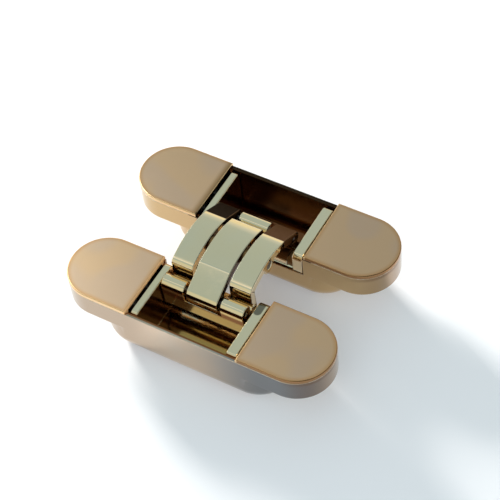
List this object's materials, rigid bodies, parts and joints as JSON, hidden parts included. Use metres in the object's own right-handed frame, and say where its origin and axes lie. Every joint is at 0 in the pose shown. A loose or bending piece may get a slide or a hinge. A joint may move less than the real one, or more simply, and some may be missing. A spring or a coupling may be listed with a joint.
{
  "type": "concealed door hinge",
  "caption": "Concealed invisible door hinge: two round-ended leaves with cups, joined by crossing arms and short links that fold from flat open to shut.",
  "frame": {"origin": "centre of the open hinge, on the surface that the bottoms of both cups stand on", "axes": "+X along the leaves, +Y from the frame leaf to the door leaf, +Z out of the covers' faces"},
  "size_m": [0.11, 0.0802, 0.0318],
  "materials": {
    "housing_metal": "polished plated",
    "cover_metal": "satin champagne",
    "carriage_metal": "polished plated",
    "arm_metal": "polished plated",
    "pin_steel": "ground"
  },
  "bodies": {
    "frame_leaf": {"frame_carriage": "carriage_metal", "frame_clamp_screws": "pin_steel", "frame_clamp_washers": "pin_steel", "frame_cover_left": "cover_metal", "frame_cover_right": "cover_metal", "frame_eccentrics": "pin_steel", "frame_foot_pin": "pin_steel", "frame_foot_washers": "pin_steel", "frame_housing": "housing_metal", "frame_pivot_pin": "pin_steel", "frame_pivot_washers": "pin_steel", "frame_side_screws": "pin_steel"},
    "door_leaf": {"door_carriage": "carriage_metal", "door_clamp_screws": "pin_steel", "door_clamp_washers": "pin_steel", "door_cover_left": "cover_metal", "door_cover_right": "cover_metal", "door_eccentrics": "pin_steel", "door_foot_pin": "pin_steel", "door_foot_washers": "pin_steel", "door_housing": "housing_metal", "door_pivot_pin": "pin_steel", "door_pivot_washers": "pin_steel", "door_side_screws": "pin_steel"},
    "outer_arm": {"outer_arm": "arm_metal", "centre_pin": "pin_steel", "centre_washers": "pin_steel"},
    "middle_arm": {"middle_arm": "arm_metal"},
    "frame_link": {"frame_link": "arm_metal", "frame_head_pin": "pin_steel"},
    "door_link": {"door_link": "arm_metal", "door_head_pin": "pin_steel"}
  },
  "joints": [
    {"name": "frame_pivot", "type": "hinge", "parent": "frame_leaf", "child": "outer_arm", "pos_m": [0, -0.0142, 0.017], "axis": [1, 0, 0], "range_deg": [0, 105]},
    {"name": "centre_pivot", "type": "hinge", "parent": "outer_arm", "child": "middle_arm", "pos_m": [0, 0, 0.0283], "axis": [1, 0, 0], "range_deg": [-30, 0]},
    {"name": "door_pivot", "type": "hinge", "parent": "middle_arm", "child": "door_leaf", "pos_m": [0, 0.0142, 0.017], "axis": [1, 0, 0], "range_deg": [0, 105]},
    {"name": "frame_link_pivot", "type": "hinge", "parent": "frame_leaf", "child": "frame_link", "pos_m": [0, -0.0183, 0.0121], "axis": [1, 0, 0], "range_deg": [0, 103.95]},
    {"name": "door_link_pivot", "type": "hinge", "parent": "door_leaf", "child": "door_link", "pos_m": [0, 0.0183, 0.0121], "axis": [1, 0, 0], "range_deg": [-103.95, 0]}
  ],
  "couplings": [
    {"joint": "centre_pivot", "follows": "frame_pivot", "ratio": -0.28571},
    {"joint": "door_pivot", "follows": "frame_pivot", "ratio": 1},
    {"joint": "frame_link_pivot", "follows": "frame_pivot", "ratio": 0.99},
    {"joint": "door_link_pivot", "follows": "frame_pivot", "ratio": -0.99}
  ]
}
